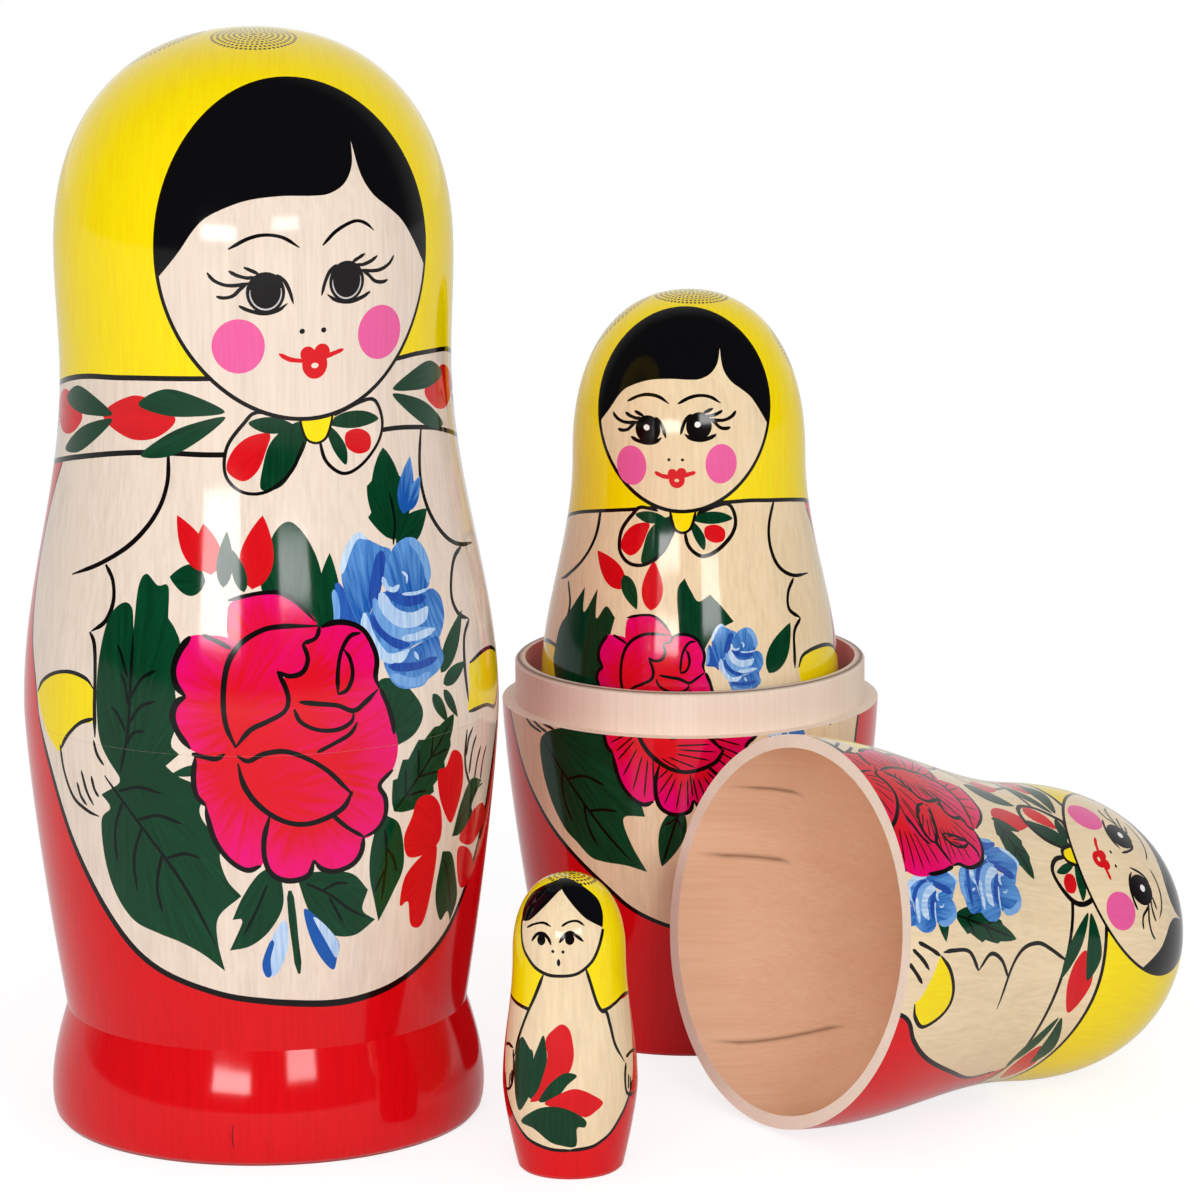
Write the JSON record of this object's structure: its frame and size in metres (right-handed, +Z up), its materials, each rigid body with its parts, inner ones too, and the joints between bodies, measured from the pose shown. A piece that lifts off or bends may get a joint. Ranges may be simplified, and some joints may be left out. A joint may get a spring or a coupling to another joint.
{
  "type": "nesting doll set",
  "caption": "Set of painted, lacquered wooden nesting dolls, opened out: each hollow doll is a base with a collar and a top that lifts off to show a smaller doll.",
  "frame": {"origin": "centre of the large doll's foot, on the table", "axes": "+Z up; -Y is the side that the large doll faces; +X runs towards the second doll and its fallen top"},
  "size_m": [0.1741, 0.1177, 0.163],
  "materials": {
    "large_base_paint": "painted red and flowered, glossy lacquer, bare wood inside",
    "large_top_paint": "painted scarf, face and flowers, glossy lacquer, bare wood inside",
    "second_base_paint": "painted red and flowered, glossy lacquer, bare wood inside",
    "second_top_paint": "painted scarf, face and flowers, glossy lacquer, bare wood inside",
    "third_paint": "painted and flowered, glossy lacquer, bare wood inside",
    "fourth_paint": "painted and flowered, glossy lacquer, bare wood inside",
    "fifth_paint": "painted and flowered, glossy lacquer, bare wood inside",
    "smallest_paint": "painted and flowered, glossy lacquer"
  },
  "bodies": {
    "large_base": {"large_base": "large_base_paint"},
    "large_top": {"large_top": "large_top_paint"},
    "second_base": {"second_base": "second_base_paint"},
    "second_top": {"second_top": "second_top_paint"},
    "third_base": {"third_base": "third_paint"},
    "third_top": {"third_top": "third_paint"},
    "fourth_base": {"fourth_base": "fourth_paint"},
    "fourth_top": {"fourth_top": "fourth_paint"},
    "fifth_base": {"fifth_base": "fifth_paint"},
    "fifth_top": {"fifth_top": "fifth_paint"},
    "smallest_doll": {"smallest_doll": "smallest_paint"}
  },
  "joints": [
    {"name": "large_top_lift", "type": "slide", "parent": "large_base", "child": "large_top", "axis": [0, 0, 1], "range_m": [0, 0.12]},
    {"name": "second_base_lift", "type": "slide", "parent": "large_base", "child": "second_base", "axis": [0, 0, 1], "range_m": [0, 0.1]},
    {"name": "second_top_lift", "type": "slide", "parent": "large_base", "child": "second_top", "axis": [0, 0, 1], "range_m": [0, 0.1]},
    {"name": "third_lift", "type": "slide", "parent": "second_base", "child": "third_base", "axis": [0, 0, 1], "range_m": [0, 0.08]},
    {"name": "third_top_lift", "type": "slide", "parent": "third_base", "child": "third_top", "axis": [0, 0, 1], "range_m": [0, 0.13]},
    {"name": "fourth_rise", "type": "slide", "parent": "third_base", "child": "fourth_base", "axis": [0, 0, 1], "range_m": [0, 0.0501]},
    {"name": "fourth_top_lift", "type": "slide", "parent": "fourth_base", "child": "fourth_top", "axis": [0, 0, 1], "range_m": [0, 0.0451]},
    {"name": "fifth_rise", "type": "slide", "parent": "fourth_base", "child": "fifth_base", "axis": [0, 0, 1], "range_m": [0, 0.0201]},
    {"name": "fifth_top_lift", "type": "slide", "parent": "fifth_base", "child": "fifth_top", "axis": [0, 0, 1], "range_m": [0, 0.0121]},
    {"name": "smallest_lift", "type": "slide", "parent": "large_base", "child": "smallest_doll", "axis": [0, 0, 1], "range_m": [0, 0.06]}
  ],
  "couplings": [
    {"joint": "fourth_rise", "follows": "third_top_lift", "ratio": 0.38461},
    {"joint": "fourth_top_lift", "follows": "third_top_lift", "ratio": 0.34615},
    {"joint": "fifth_rise", "follows": "third_top_lift", "ratio": 0.15385},
    {"joint": "fifth_top_lift", "follows": "third_top_lift", "ratio": 0.092308}
  ]
}
